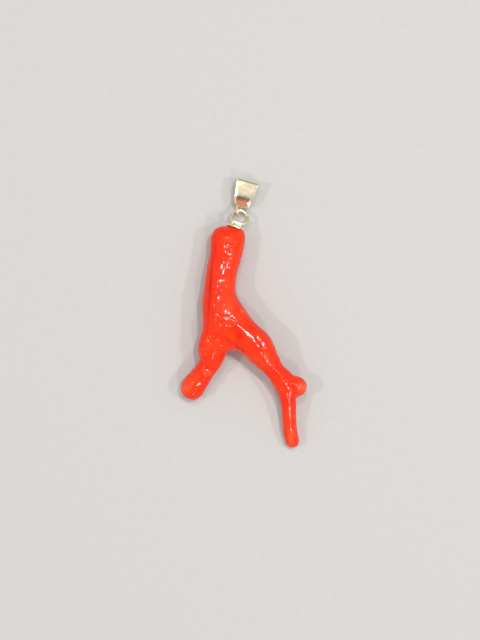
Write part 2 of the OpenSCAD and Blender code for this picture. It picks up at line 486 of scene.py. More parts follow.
# Finishes


@dataclass(frozen=True)
class Shade:
    """A number that changes over a surface, on which Python's operators act."""

    recipe: "Recipe"
    socket: Any

    def math(self, operation: str, *values: Any) -> "Shade":
        """One Math node on this number and others, in the order given.

        Args:
            operation: The node's operation.
            *values: Its inputs, shades or plain numbers.

        Returns:
            Its result.
        """
        sockets = dict(enumerate(values))
        made = self.recipe.node("ShaderNodeMath", {"operation": operation}, sockets)
        return Shade(self.recipe, made.outputs[0])

    def __add__(self, other: Any) -> "Shade":
        """This number plus another."""
        return self.math("ADD", self, other)

    def __radd__(self, other: Any) -> "Shade":
        """Another number plus this one."""
        return self.math("ADD", other, self)

    def __sub__(self, other: Any) -> "Shade":
        """This number less another."""
        return self.math("SUBTRACT", self, other)

    def __rsub__(self, other: Any) -> "Shade":
        """Another number less this one."""
        return self.math("SUBTRACT", other, self)

    def __mul__(self, other: Any) -> "Shade":
        """This number times another."""
        return self.math("MULTIPLY", self, other)

    def __rmul__(self, other: Any) -> "Shade":
        """Another number times this one."""
        return self.math("MULTIPLY", other, self)

    def ramp(self, low: float, high: float) -> "Shade":
        """Nought up to low, one from high, and a soft step between them.

        Args:
            low: Where it starts to rise.
            high: Where it is full.

        Returns:
            The stepped number.
        """
        made = self.recipe.node(
            "ShaderNodeMapRange",
            {"interpolation_type": "SMOOTHSTEP"},
            {"Value": self, "From Min": low, "From Max": high},
        )
        return Shade(self.recipe, made.outputs[0])


class Recipe:
    """The node tree of one material or of the world."""

    def __init__(self, owner: bpy.types.Material | bpy.types.World) -> None:
        """Empties the owner's tree.

        Args:
            owner: The material or the world.
        """
        self.owner = owner
        owner.use_nodes = True
        self.tree = owner.node_tree
        self.tree.nodes.clear()

    def node(
        self, kind: str, settings: Mapping[str, Any] | None = None, sockets: Mapping[Any, Any] | None = None
    ) -> bpy.types.Node:
        """Adds a node.

        Args:
            kind: The node's type.
            settings: What is set on the node itself, first of all.
            sockets: The value or the link of each of its inputs.

        Returns:
            The node.
        """
        made = self.tree.nodes.new(kind)
        for key, value in (settings or {}).items():
            setattr(made, key, value)
        for key, value in (sockets or {}).items():
            value = value.socket if isinstance(value, Shade) else value
            if isinstance(value, bpy.types.NodeSocket):
                self.tree.links.new(value, made.inputs[key])
            else:
                made.inputs[key].default_value = value
        return made

    def place(self) -> Any:
        """The Object coordinates, in metres."""
        return self.node("ShaderNodeTexCoord").outputs["Object"]

    def attribute(self, name: str, output: str) -> Any:
        """One output of a piece's own attribute.

        Args:
            name: The attribute's name.
            output: Fac for its number, Vector for its vector.

        Returns:
            The socket.
        """
        return self.node("ShaderNodeAttribute", {"attribute_name": name}).outputs[output]

    def turned(self, vector: Any, degrees: float) -> Any:
        """A vector turned about Z."""
        sockets = {"Vector": vector, "Rotation": (0.0, 0.0, np.radians(degrees))}
        return self.node("ShaderNodeMapping", None, sockets).outputs[0]

    def stretched(self, vector: Any, scale: Place) -> Any:
        """A vector times a scale for each of its axes.

        Args:
            vector: The vector's socket.
            scale: The three scales.

        Returns:
            The scaled vector.
        """
        made = self.node("ShaderNodeVectorMath", {"operation": "MULTIPLY"}, {0: vector, 1: scale})
        return made.outputs[0]

    def noise(self, vector: Any, scale: float, detail: float = 2.0, rough: float = 0.5) -> Shade:
        """A cloudy number about one half.

        Args:
            vector: Where it is read.
            scale: Clouds to the unit.
            detail: How many finer clouds lie on them.
            rough: How strong those are.

        Returns:
            The number.
        """
        sockets = {"Vector": vector, "Scale": scale, "Detail": detail, "Roughness": rough}
        return Shade(self, self.node("ShaderNodeTexNoise", None, sockets).outputs[0])

    def blend(self, a: Any, b: Any, share: Any) -> Any:
        """Two colours mixed.

        Args:
            a: The colour where share is nought.
            b: The colour where share is one.
            share: How much of b there is.

        Returns:
            The mixed colour.
        """
        return self.node("ShaderNodeMix", {"data_type": "RGBA"}, {0: share, 6: a, 7: b}).outputs[2]

    def stops(self, value: Shade, table: Stops) -> Any:
        """A colour that runs through a table of stops.

        Args:
            value: Where it is read, from nought to one.
            table: The place and the colour of each stop.

        Returns:
            The colour.
        """
        made = self.node("ShaderNodeValToRGB", None, {0: value})
        elements = made.color_ramp.elements
        for _ in table[2:]:
            elements.new(0.5)
        for stop, (place, colour) in zip(elements, table):
            stop.position, stop.color = place, (*colour, 1.0)
        return made.outputs[0]

    def bump(self, height: Shade, depth: float, strength: float) -> Any:
        """A fine relief that turns the light alone.

        Args:
            height: How high the surface stands, from nought to one.
            depth: The way from nought to one, in metres.
            strength: The share of it that shows.

        Returns:
            The turned direction.
        """
        sockets = {"Height": height, "Distance": depth, "Strength": strength}
        return self.node("ShaderNodeBump", None, sockets).outputs[0]

    def surface(self, sockets: Mapping[str, Any]) -> bpy.types.Material:
        """Ends the tree in one Principled surface.

        Args:
            sockets: The values and links of its inputs.

        Returns:
            The material.
        """
        shader = self.node("ShaderNodeBsdfPrincipled", None, sockets)
        self.node("ShaderNodeOutputMaterial", None, {"Surface": shader.outputs[0]})
        return self.owner


@dataclass(frozen=True)
class CoralFinish:
    """Polished red coral: a deep orange red, warmer where it is thin, with faint growth lines
    along each limb and a few fine pores, under a high wax polish. Marks add a painted sheen and
    painted highlights, paler, and painted shade, a darker red, in grooves and down the stem's side.

    Scales are clouds to the metre, and depths are in metres. A span is the stretch of a number
    over which its effect goes from nothing to full, or back.
    """

    deep: Colour = (0.79, 0.017, 0.002, 1.0)
    bright: Colour = (0.88, 0.045, 0.005, 1.0)
    # The warmer tone: the coral's own warmer places, and also painted sheen and painted highlights
    warm_and_sheen: Colour = (0.93, 0.16, 0.05, 1.0)
    pore: Colour = (0.5, 0.008, 0.002, 1.0)
    # The darkest red: painted shade in grooves, in a small dent and down the stem's left side, and a deeper
    # patch over the fork
    deep_red_and_shade: Colour = (0.58, 0.007, 0.001, 1.0)
    cloud_scale: float = 260.0
    pore_scale: float = 2600.0
    tooth_scale: float = 1400.0
    line_stretch: Place = (0.35, 3.2, 3.2)
    tone_span: Span = (0.3, 0.7)
    pore_span: Span = (0.26, 0.32)
    warm_and_sheen_span: Span = (0.0, 1.3)
    deep_and_shade_span: Span = (-1.0, 0.0)
    line_share: float = 0.3
    warm_and_sheen_lines: float = 0.25
    pore_share: float = 0.35
    tooth_share: float = 0.3
    lively_share: float = 0.75
    pore_drop: float = 0.3
    polish: float = 0.07
    cloud_dulling: float = 0.08
    pore_dulling: float = 0.2
    refraction: float = 1.43
    shine: float = 0.4
    glow: float = 0.12
    glow_reach: Place = (1.0, 0.25, 0.1)
    glow_depth: float = 0.0012
    relief: float = 0.00002
    relief_strength: float = 0.7

    def material(self) -> bpy.types.Material:
        """Builds the material.

        The red runs between two tones with broad clouds and with lines along the limbs. It goes
        over to the warmer tone, for the coral's own warmer places and for painted sheen and painted
        highlights, and to the darkest red, mostly painted shade, by the share that the piece gives
        each corner.

        Returns:
            The material.
        """
        r = Recipe(bpy.data.materials.new("polished_coral"))
        place, grain = r.place(), r.attribute("grain", "Vector")
        clouds = r.noise(place, self.cloud_scale, 3.0)
        lines = r.noise(r.stretched(grain, self.line_stretch), 1.0, 3.0, 0.6)
        pores = 1 - r.noise(place, self.pore_scale, 1.0).ramp(*self.pore_span)
        tint_and_painted_light = Shade(r, r.attribute("tint_and_painted_light", "Fac"))
        mottle = clouds.ramp(*self.tone_span) * (1 - self.line_share)
        tone = r.blend(self.deep, self.bright, mottle + lines.ramp(*self.tone_span) * self.line_share)
        streaky = 1 - self.warm_and_sheen_lines + self.warm_and_sheen_lines * lines
        # Warmer places of the coral itself, and painted sheen and painted highlights where marks make it
        # paler
        tone = r.blend(tone, self.warm_and_sheen, tint_and_painted_light.ramp(*self.warm_and_sheen_span) * streaky)
        # Painted shade: the darkest red where marks fall below nought
        tone = r.blend(tone, self.deep_red_and_shade, 1 - tint_and_painted_light.ramp(*self.deep_and_shade_span))
        tone = r.blend(tone, self.pore, pores * self.pore_share)
        lively = Shade(r, r.attribute("lively", "Fac"))
        tooth = lines * (1 - self.tooth_share) + r.noise(place, self.tooth_scale, 2.0) * self.tooth_share
        skin = tooth * (1 - self.lively_share + self.lively_share * lively) - pores * self.pore_drop
        return r.surface(
            {
                "Base Color": tone,
                "Roughness": self.polish + self.cloud_dulling * clouds + self.pore_dulling * pores,
                "IOR": self.refraction,
                "Specular IOR Level": self.shine,
                "Subsurface Weight": self.glow,
                "Subsurface Radius": self.glow_reach,
                "Subsurface Scale": self.glow_depth,
                "Normal": r.bump(skin, self.relief, self.relief_strength),
            }
        )


@dataclass(frozen=True)
class GoldFinish:
    """Pale yellow gold, polished, with the hairlines and the faint clouding of wear. Its depths
    are in metres, and its turn is in degrees about Z."""

    name: str
    polish: Polish = Polish.MIRROR
    metal: Colour = (1.0, 0.93, 0.71, 1.0)
    dulled: Colour = (0.92, 0.79, 0.53, 1.0)
    turn: float = 0.0
    cloud_scale: float = 700.0
    cloud_depth: float = 0.0000014
    hairline_stretch: Place = (9000.0, 900.0, 3000.0)
    hairline_depth: float = 0.0000022
    wave_stretch: Place = (600.0, 900.0, 500.0)
    wave_depth: float = 0.0
    wear_span: Span = (0.42, 0.75)
    wear_tint: float = 0.6
    wear_dulling: float = 0.09
    hairline_dulling: float = 0.05

    def material(self) -> bpy.types.Material:
        """Builds the material.

        Hairlines and waves run along the piece, which is turned about Z. Where the clouds are
        thick the metal is duller and rougher.

        Returns:
            The material.
        """
        r = Recipe(bpy.data.materials.new(self.name))
        place = r.place()
        along = r.turned(place, self.turn)
        clouds = r.noise(place, self.cloud_scale, 3.0)
        hairlines = r.noise(r.stretched(along, self.hairline_stretch), 1.0, 2.0, 0.7)
        waves = r.noise(r.stretched(along, self.wave_stretch), 1.0, 2.0, 0.4)
        wear = clouds.ramp(*self.wear_span)
        height = hairlines * self.hairline_depth + clouds * self.cloud_depth + waves * self.wave_depth
        return r.surface(
            {
                "Base Color": r.blend(self.metal, self.dulled, wear * self.wear_tint),
                "Metallic": 1.0,
                "Roughness": self.polish.value + self.wear_dulling * wear + self.hairline_dulling * hairlines,
                "Normal": r.bump(height, 1.0, 1.0),
            }
        )


@dataclass(frozen=True)
class FloorFinish:
    """A plain pale matt board with the faintest tooth."""

    board: Colour = (0.54, 0.55, 0.55, 1.0)
    shaded: Colour = (0.5, 0.51, 0.51, 1.0)
    matt: float = 0.85
    tooth_scale: float = 900.0
    tooth_depth: float = 0.0001
    tooth_strength: float = 0.2

    def material(self) -> bpy.types.Material:
        """Builds the material, whose tone and height follow one fine noise.

        Returns:
            The material.
        """
        r = Recipe(bpy.data.materials.new("pale_board"))
        tooth = r.noise(r.place(), self.tooth_scale, 3.0)
        return r.surface(
            {
                "Base Color": r.blend(self.board, self.shaded, tooth),
                "Roughness": self.matt,
                "Normal": r.bump(tooth, self.tooth_depth, self.tooth_strength),
            }
        )


# The coral

# Columns of the limb tables: X, Y, height of the middle, and radius
MAIN_LIMB = [
    [-3.36, 13.5, 3.17, 3.13],
    [-3.59, 11.7, 3.21, 3.2],
    [-4.19, 9.0, 3.36, 3.12],
    [-4.6, 6.8, 3.5, 3.1],
    [-4.8, 4.4, 3.7, 3.13],
    [-4.6, 2.2, 3.95, 3.13],
    [-3.6, 0.0, 4.2, 3.4],
    [-1.9, -2.3, 4.5, 3.34],
    [0.35, -4.7, 4.8, 3.15],
    [2.7, -6.9, 4.9, 3.15],
    [4.2, -9.1, 4.8, 2.56],
    [5.6, -10.9, 4.6, 2.05],
    [6.9, -13.0, 4.3, 1.8],
    [8.2, -15.3, 3.9, 1.75],
    [8.78, -17.3, 3.5, 1.63],
    [8.97, -19.0, 3.1, 1.48],
    [9.1, -21.4, 2.5, 1.42],
    [9.3, -23.6, 1.9, 1.42],
    [9.75, -26.05, 1.4, 1.4],
]
SHOULDER = [[-4.3, 14.8, 3.13, 2.0], [-1.7, 15.2, 3.13, 1.75]]
LEFT_LEG = [
    [-4.94, 1.5, 3.95, 3.22],
    [-5.17, -1.5, 4.1, 3.0],
    [-5.64, -4.4, 4.0, 2.8],
    [-6.1, -6.3, 3.8, 2.9],
    [-6.3, -7.6, 3.6, 2.9],
    [-6.5, -9.4, 3.4, 2.4],
    [-7.6, -11.5, 3.0, 2.0],
    [-8.9, -13.3, 2.7, 2.2],
    [-9.8, -14.5, 2.55, 2.37],
    [-10.3, -15.3, 2.42, 2.4],
]
WEB = [[-3.4, -1.5, 4.2, 3.2], [-2.5, -4.4, 4.3, 3.1]]
KNOB = [[7.6, -12.8, 4.2, 1.65], [9.1, -14.1, 4.0, 1.7], [10.6, -14.9, 3.8, 2.0]]

# Large lumps and dents: X, Y, Z, reach, and rise, which is less than zero for a dent. The last
# two correct the outline beside the stem's end.
RELIEF = [
    [-2.8, 13.2, 6.1, 0.9, -0.3],
    [-4.4, 10.2, 6.4, 1.2, -0.2],
    [-6.5, 6.6, 5.5, 0.9, -0.18],
    [-6.6, 3.6, 5.7, 0.9, -0.18],
    [-6.5, 0.6, 6.0, 0.9, -0.18],
    [-3.2, -0.8, 7.5, 1.3, -0.25],
    [0.8, -4.3, 8.1, 1.1, 0.15],
    [3.4, -7.0, 8.1, 1.0, 0.12],
    [-4.2, -5.8, 6.9, 1.3, -0.35],
    [-7.2, -5.6, 6.2, 0.9, -0.25],
    [-6.2, -9.4, 5.9, 0.9, 0.15],
    [-8.3, -11.8, 5.0, 0.8, 0.15],
    [-10.6, -14.3, 4.7, 0.9, -0.22],
    [-9.2, -15.2, 4.6, 0.8, -0.15],
    [2.2, -9.8, 6.6, 1.1, -0.2],
    [8.0, -14.6, 5.8, 0.9, 0.12],
    [11.9, -14.6, 5.0, 1.0, -0.15],
    [0.1, 12.3, 3.2, 1.3, 0.13],
    [-6.7, 15.0, 3.2, 1.2, -0.12],
]

# Small forms of the upper side, as seen from above: X, Y, reach along, reach across, the turn of
# the long way from +X in degrees, and rise
SMALL_FORMS = [
    [-3.0, 13.7, 0.8, 0.6, 90.0, 0.08],
    [-2.9, 12.6, 1.0, 0.55, 80.0, -0.14],
    [-2.4, 11.9, 0.9, 0.2, 95.0, 0.05],
    [-4.2, 10.6, 0.9, 0.3, 120.0, 0.05],
    [-3.3, 9.2, 0.9, 0.35, 60.0, 0.06],
    [-5.5, 7.6, 1.1, 0.35, 75.0, 0.05],
    [-5.3, 5.6, 0.9, 0.35, 85.0, 0.05],
    [-3.2, 5.8, 1.0, 0.4, 110.0, 0.05],
    [-5.4, 3.8, 0.8, 0.4, 60.0, 0.05],
    [-6.6, 0.4, 7.0, 0.35, 88.0, -0.05],
    [-2.4, 1.0, 2.0, 1.5, 60.0, -0.1],
    [-2.2, -1.5, 2.0, 0.35, 0.0, 0.05],
    [-3.8, -2.9, 1.5, 0.35, 0.0, 0.05],
    [-4.2, -3.9, 1.4, 0.3, 5.0, 0.03],
    [-5.5, -0.7, 0.9, 0.3, -48.0, 0.05],
    [1.0, -4.6, 2.4, 0.6, -43.0, 0.05],
    [3.6, -5.8, 1.2, 0.4, -47.0, 0.05],
    [3.0, -7.8, 0.5, 0.4, 0.0, 0.05],
    [4.6, -8.4, 0.6, 0.4, -60.0, 0.05],
    [-7.5, -5.4, 0.8, 0.2, 78.0, 0.1],
    [-7.0, -5.5, 0.6, 0.16, 70.0, 0.08],
    [-6.5, -6.0, 0.7, 0.2, -20.0, 0.08],
    [-7.9, -7.7, 0.6, 0.4, 80.0, 0.12],
    [-6.3, -10.0, 0.45, 0.4, 0.0, 0.1],
    [-8.3, -11.7, 0.5, 0.4, 0.0, 0.1],
    [-5.7, -11.9, 0.9, 0.25, 55.0, 0.13],
    [-10.1, -14.4, 1.1, 0.2, 62.0, 0.08],
    [-11.1, -15.0, 1.2, 0.2, 60.0, 0.1],
    [-9.4, -13.2, 0.4, 0.3, 40.0, 0.07],
    [-10.6, -13.0, 0.4, 0.3, 40.0, 0.07],
    [-6.4, -8.6, 0.4, 0.4, 0.0, 0.05],
    [-6.2, -9.8, 0.8, 0.6, 0.0, -0.1],
    [-8.2, -11.6, 0.6, 0.5, 0.0, 0.09],
    [-5.9, -11.8, 0.6, 0.4, 40.0, 0.08],
    [-7.7, -13.2, 0.4, 0.3, 0.0, 0.05],
    [-10.3, -14.2, 0.7, 0.3, 60.0, 0.07],
    [-11.0, -15.2, 0.9, 0.3, 60.0, 0.07],
    [-9.4, -15.4, 0.4, 0.4, 0.0, 0.05],
    [-10.2, -16.8, 0.8, 0.6, 10.0, 0.1],
    [-1.4, -6.9, 1.2, 0.25, -40.0, -0.06],
    [-0.4, -7.5, 0.9, 0.2, -30.0, -0.04],
    [4.7, -8.5, 0.9, 0.2, -62.0, 0.08],
    [5.2, -9.9, 0.8, 0.2, -60.0, 0.07],
    [6.3, -11.3, 0.8, 0.18, -52.0, 0.08],
    [7.1, -12.7, 0.8, 0.18, -58.0, 0.07],
    [7.6, -14.0, 0.7, 0.18, -65.0, 0.06],
    [8.6, -15.4, 0.8, 0.2, -62.0, 0.07],
    [9.3, -17.8, 1.2, 0.22, 88.0, 0.05],
    [9.0, -20.0, 1.2, 0.2, 92.0, 0.05],
    [9.3, -21.9, 1.0, 0.2, 86.0, 0.05],
    [6.4, -11.8, 0.8, 0.25, -50.0, 0.05],
    [6.9, -12.3, 0.7, 0.2, -60.0, -0.05],
    [6.2, -13.5, 0.4, 0.3, 0.0, 0.05],
    [8.5, -14.8, 1.2, 0.25, -55.0, 0.05],
    [10.3, -18.6, 0.9, 0.25, 80.0, 0.03],
    [9.2, -20.4, 1.2, 0.25, 88.0, 0.03],
    [8.3, -22.9, 0.6, 0.25, 80.0, 0.03],
    [9.4, -25.3, 0.4, 0.3, 60.0, 0.04],
    [10.2, -25.7, 0.4, 0.3, 60.0, 0.04],
    [11.6, -14.9, 0.8, 0.8, 0.0, -0.05],
]

# Glints, where a small facet of the polish mirrors a lamp, as seen from above: X, Y, reach along,
# reach across, and the turn of the long way from +X in degrees
GLINTS = [
    [-3.3, 12.9, 0.4, 0.28, -20.0],
    [-2.5, 12.5, 0.4, 0.28, -25.0],
    [-4.3, 10.8, 0.4, 0.28, -60.0],
    [-4.0, 10.0, 0.4, 0.28, -60.0],
    [-3.4, 9.3, 0.5, 0.28, -60.0],
    [-2.9, 9.8, 0.35, 0.28, 60.0],
    [-2.9, 8.8, 0.4, 0.28, 60.0],
    [-5.5, 7.7, 0.4, 0.28, 75.0],
    [-5.3, 5.9, 0.55, 0.28, 80.0],
    [-3.0, 6.2, 0.4, 0.28, 60.0],
    [-3.5, 5.2, 0.45, 0.28, 60.0],
    [-4.4, 4.2, 0.45, 0.28, 60.0],
    [-5.6, 3.9, 0.45, 0.28, 80.0],
    [-5.5, -0.4, 0.5, 0.28, -49.0],
    [-4.9, -1.1, 0.5, 0.28, -49.0],
    [-3.2, -1.4, 0.3, 0.3, 0.0],
    [-1.8, -1.2, 0.36, 0.36, 0.0],
    [-0.5, -1.4, 0.36, 0.36, 0.0],
    [-1.1, -0.5, 0.4, 0.28, -50.0],
    [-4.6, -2.7, 0.36, 0.36, 0.0],
    [-3.5, -2.8, 0.36, 0.36, 0.0],
    [-2.8, -2.8, 0.36, 0.36, 0.0],
    [-7.5, -5.1, 0.4, 0.2, -81.0],
    [-7.3, -6.1, 0.4, 0.2, -81.0],
    [-6.8, -5.0, 0.35, 0.2, 74.0],
    [-7.1, -6.0, 0.35, 0.2, 74.0],
    [-5.9, -11.8, 0.5, 0.28, 50.0],
    [-7.8, -13.1, 0.3, 0.3, 0.0],
    [-9.6, -13.0, 0.3, 0.3, 0.0],
    [-8.0, -8.3, 0.5, 0.28, 0.0],
    [-6.2, -9.3, 0.5, 0.28, -20.0],
    [-10.2, -14.2, 0.5, 0.28, 58.0],
    [-10.8, -15.1, 0.5, 0.28, 58.0],
    [-9.2, -14.8, 0.4, 0.28, 60.0],
    [4.6, -8.4, 0.4, 0.28, -50.0],
    [5.1, -9.8, 0.4, 0.28, -55.0],
    [6.1, -11.3, 0.4, 0.28, -50.0],
    [6.9, -12.4, 0.4, 0.28, -55.0],
    [7.9, -13.9, 0.4, 0.28, -50.0],
    [8.8, -15.2, 0.4, 0.28, -60.0],
    [3.6, -8.8, 0.3, 0.28, 0.0],
    [9.5, -25.3, 0.3, 0.3, 0.0],
    [11.3, -14.5, 0.35, 0.28, 20.0],
    [11.9, -15.1, 0.35, 0.28, -60.0],
]

# Slanted places that break up a long reflection, as seen from above: X, Y, reach along, reach
# across, the turn of the long way from +X in degrees, and how steeply the skin rises along X
# and along Y
BREAKS = [
    [-3.4, 14.6, 0.6, 0.6, 0.0, 0.0, 0.13],
    [-4.3, 7.0, 0.9, 0.7, 90.0, 0.0, 0.16],
    [-4.4, 2.0, 0.7, 0.6, -54.0, 0.08, -0.13],
    [-3.3, 0.8, 0.7, 0.6, -40.0, -0.12, 0.1],
    [-3.9, 1.1, 0.6, 0.5, 0.0, 0.0, 0.2],
    [-3.6, -0.8, 0.6, 0.5, 0.0, 0.0, 0.2],
    [-5.2, -5.4, 0.6, 0.5, 0.0, 0.0, 0.2],
    [-4.2, -7.0, 0.6, 0.5, 0.0, 0.0, 0.2],
]

# Marks of colour, as seen from above: X, Y, reach along, reach across, the turn of the long way
# from +X in degrees, and share, warmer and paler over nought and deeper red under it. Some are
# the coral's own warmer places; others are painted sheen, painted highlights and painted shade.
TINT_AND_PAINTED_LIGHT_MARKS = [
    # Painted sheen: a paler band down the stem's middle and a paler patch above the fork
    [-3.6, 4.0, 7.5, 1.9, 84.0, 0.3],
    [-2.4, 1.2, 1.7, 1.0, 60.0, 0.3],
    # A warmer patch of the coral itself
    [-0.3, 0.1, 0.7, 0.6, 0.0, 0.7],
    # The small dent by the stem's end: painted sheen, a painted highlight and an arc of painted shade
    [-2.75, 13.8, 1.0, 0.5, 82.0, 0.3],
    [-2.4, 12.0, 1.1, 0.3, 95.0, 0.4],
    [-2.95, 13.2, 0.85, 0.2, -8.0, -1.0],
    # A deeper red over the fork, and two dark lines of painted shade in its grooves
    [-1.0, -4.6, 2.9, 1.1, -70.0, -0.6],
    [-1.3, -6.9, 1.0, 0.16, -55.0, -0.7],
    [-0.4, -7.5, 0.9, 0.14, -35.0, -0.5],
    # Warmer and paler places on the limbs, at the knob's end and on the foot and the finger
    [-6.8, -12.2, 0.9, 0.7, 20.0, 0.6],
    [-11.9, -15.2, 1.4, 1.1, 70.0, 0.5],
    [-8.4, -8.4, 1.4, 0.8, 80.0, 0.25],
    [5.6, -10.6, 1.8, 1.2, -55.0, 0.15],
    [11.7, -15.0, 1.2, 1.1, 0.0, 0.9],
    [-10.2, -15.0, 2.4, 1.8, 50.0, 0.36],
    [9.4, -22.0, 4.0, 0.9, 88.0, 0.25],
    # Painted shade: a dark line and a darker band down the stem's left side
    [-6.6, 4.5, 8.0, 0.22, 86.5, -0.8],
    [-7.1, 5.0, 9.0, 0.6, 86.5, -0.2],
    # The finger's warmer, paler tip
    [9.5, -25.6, 2.4, 1.6, 80.0, 0.45],
]


def seen_from_camera(table: Array, z: Array) -> tuple[Array, Array]:
    """Where the line of sight through each seen place crosses a height.

    Args:
        table: Rows that start with X and Y, as seen at the height of the stem's middle.
        z: The heights.

    Returns:
        The places along X and Y.
    """
    eye = Studio.eye
    share = (eye[2] - z) / (eye[2] - Studio.seen_at)
    return tuple(eye[i] + (table[:, i] - eye[i]) * share for i in range(2))


def oval_bell(x: Array, y: Array, z: Array | float, along: float, across: float, turn: float) -> Array:
    """A bell over an oval that lies flat, one at its middle, which also fades with height: e to
    the power of less the squares of each way over its reach.

    Args:
        x: Places along X, from its middle.
        y: Places along Y, from its middle.
        z: Places along Z, from its middle.
        along: Its reach along.
        across: Its reach across.
        turn: The turn of the long way from +X, in degrees.

    Returns:
        The bell's height at each place.
    """
    c, s = np.cos(np.radians(turn)), np.sin(np.radians(turn))
    u, v = x * c + y * s, y * c - x * s
    return np.exp(-((u / along) ** 2) - (v / across) ** 2 - (z / FORM_DEPTH) ** 2)


@dataclass(frozen=True)
class Ripples:
    """The fine unevenness of hand polishing: the mean of plane waves in all directions, whose
    lengths lie between two bounds, in shares that fade where the coral is calm. A calm place is
    X, Y, Z and reach."""

    high: float = 0.014
    shortest: float = 1.3
    longest: float = 4.0
    count: int = 28
    seed: int = 11
    calming: float = 0.85
    calm: tuple[tuple[float, float, float, float], ...] = (
        (1.2, -4.8, 7.8, 2.6),
        (4.4, -7.4, 7.6, 1.6),
        (-3.4, 14.6, 4.0, 2.2),
    )

    def rise(self, x: Array, y: Array, z: Array) -> Array:
        """How far the ripples raise the skin.

        Args:
            x: Places along X.
            y: Places along Y.
            z: Places along Z.

        Returns:
            The rise at each point.
        """
        dice = np.random.default_rng(self.seed)
        ways = unit(dice.normal(size=(self.count, 3)))
        ways *= (2 * np.pi / dice.uniform(self.shortest, self.longest, self.count))[:, None]
        starts = dice.uniform(0, 2 * np.pi, self.count)
        total = sum(np.sin(x * w[0] + y * w[1] + z * w[2] + s) for w, s in zip(ways, starts))
        return self.high * self.share(x, y, z) * total * np.sqrt(2 / self.count)

    def share(self, x: Array, y: Array, z: Array) -> Array:
        """How strong the unevenness is, from nought to one: it fades about the calm places.

        Args:
            x: Places along X.
            y: Places along Y.
            z: Places along Z.

        Returns:
            The share at each point.
        """
        share = np.ones(np.broadcast(x, y, z).shape)
        for cx, cy, cz, reach in self.calm:
            away = (x - cx) ** 2 + (y - cy) ** 2 + (z - cz) ** 2
            share -= self.calming * np.exp(-away / reach**2)
        return share.clip(0, 1)


@dataclass(frozen=True)
class Streak:
    """A row of facets that all mirror one lamp, so that their glints join."""

    start: tuple[float, float]
    end: tuple[float, float]
    count: int
    along: float
    across: float
    lamp: str

    def rows(self) -> Array:
        """One row for each facet, with the columns that the table of glints has.

        Returns:
            The rows, at even steps from the start to the end and turned along that way.
        """
        way = np.subtract(self.end, self.start)
        turn = np.degrees(np.arctan2(way[1], way[0]))
        places = np.linspace(self.start, self.end, self.count)
        return np.hstack([places, np.tile([self.along, self.across, turn], (self.count, 1))])


